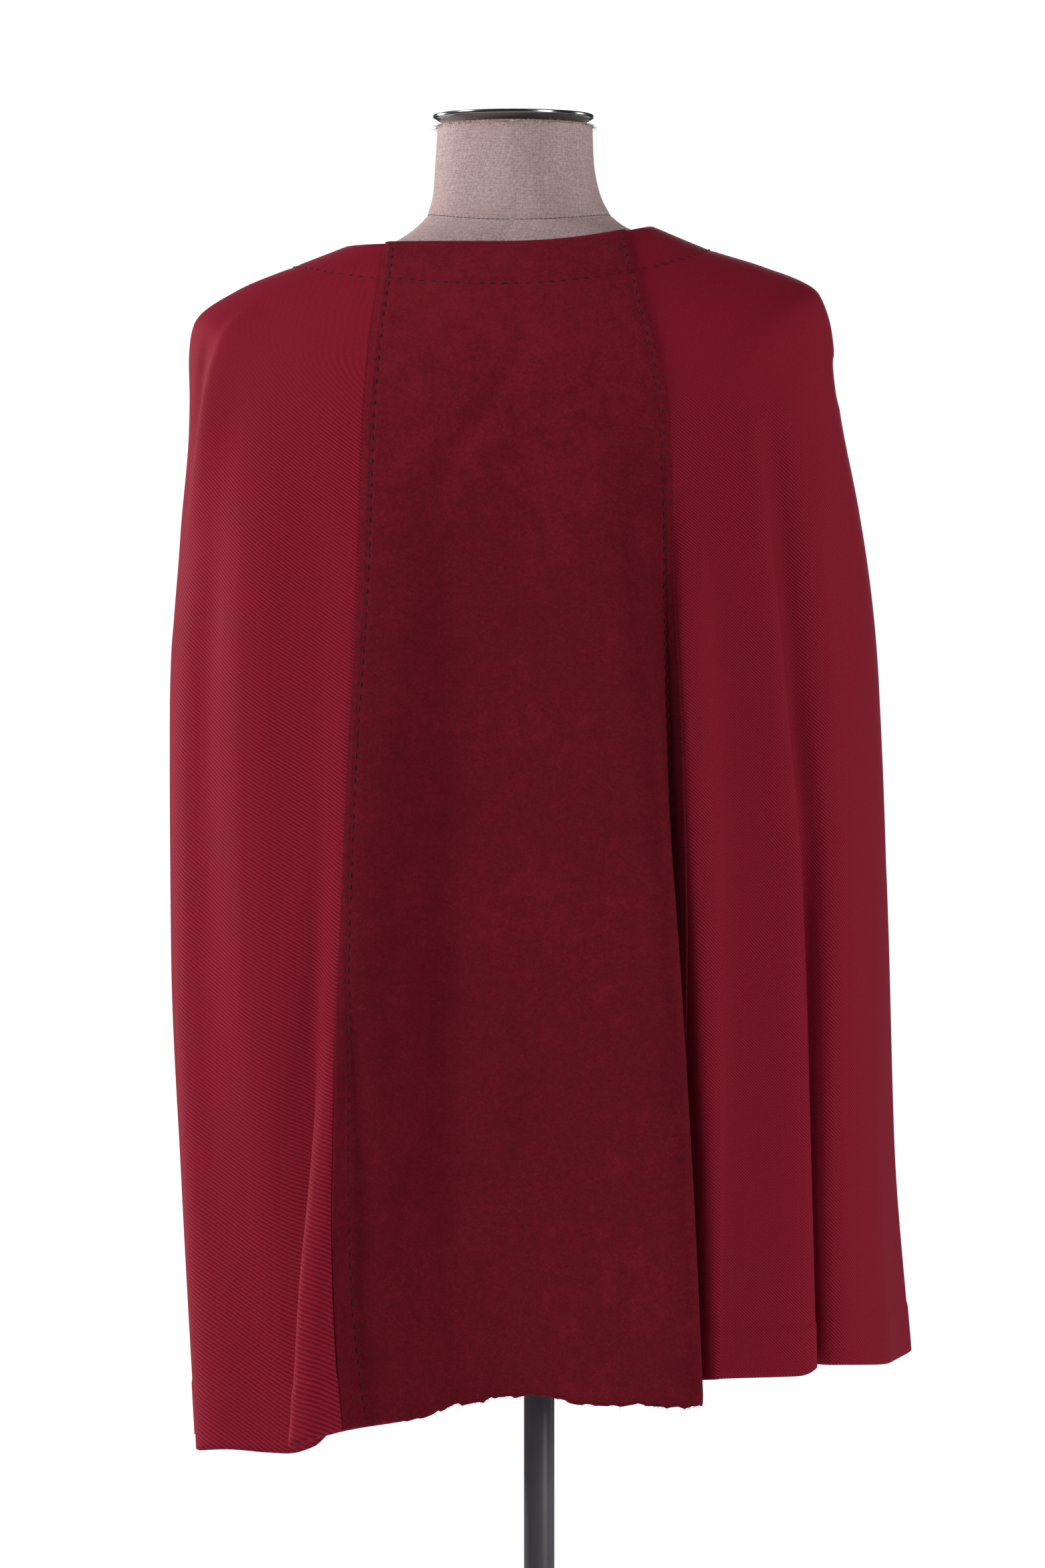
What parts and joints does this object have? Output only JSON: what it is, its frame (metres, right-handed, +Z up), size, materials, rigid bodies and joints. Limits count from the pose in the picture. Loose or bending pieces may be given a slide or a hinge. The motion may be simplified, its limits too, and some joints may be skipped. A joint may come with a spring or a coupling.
{
  "type": "poncho on a dress form stand",
  "caption": "Hip-length wool poncho pieced from felted centre panels and twill side panels, worn open at neck and hem on a limbless dress form with a pole stand",
  "frame": {"origin": "centre of the stand base's underside, on the pole's axis, at floor level", "axes": "+Z up along the pole; the poncho's back faces -Y and its front faces +Y; +X is to the right of someone who looks at the back"},
  "size_m": [0.5119, 0.3743, 1.5066],
  "materials": {
    "felted_wool": "dark wine red felted wool, matt, cut raw",
    "wool_twill": "wine red wool twill with fine diagonal ribs",
    "linen_cover": "natural linen cover, matt",
    "cap_metal": "dark polished metal",
    "stand_paint": "near-black satin paint"
  },
  "bodies": {
    "root": {"back_centre_panel": "felted_wool", "front_centre_panel": "felted_wool", "side_panel_left": "wool_twill", "side_panel_right": "wool_twill", "form_torso": "linen_cover", "form_neck_cap": "cap_metal", "stand_pole": "stand_paint", "stand_hub": "stand_paint", "stand_base": "stand_paint"}
  },
  "joints": []
}
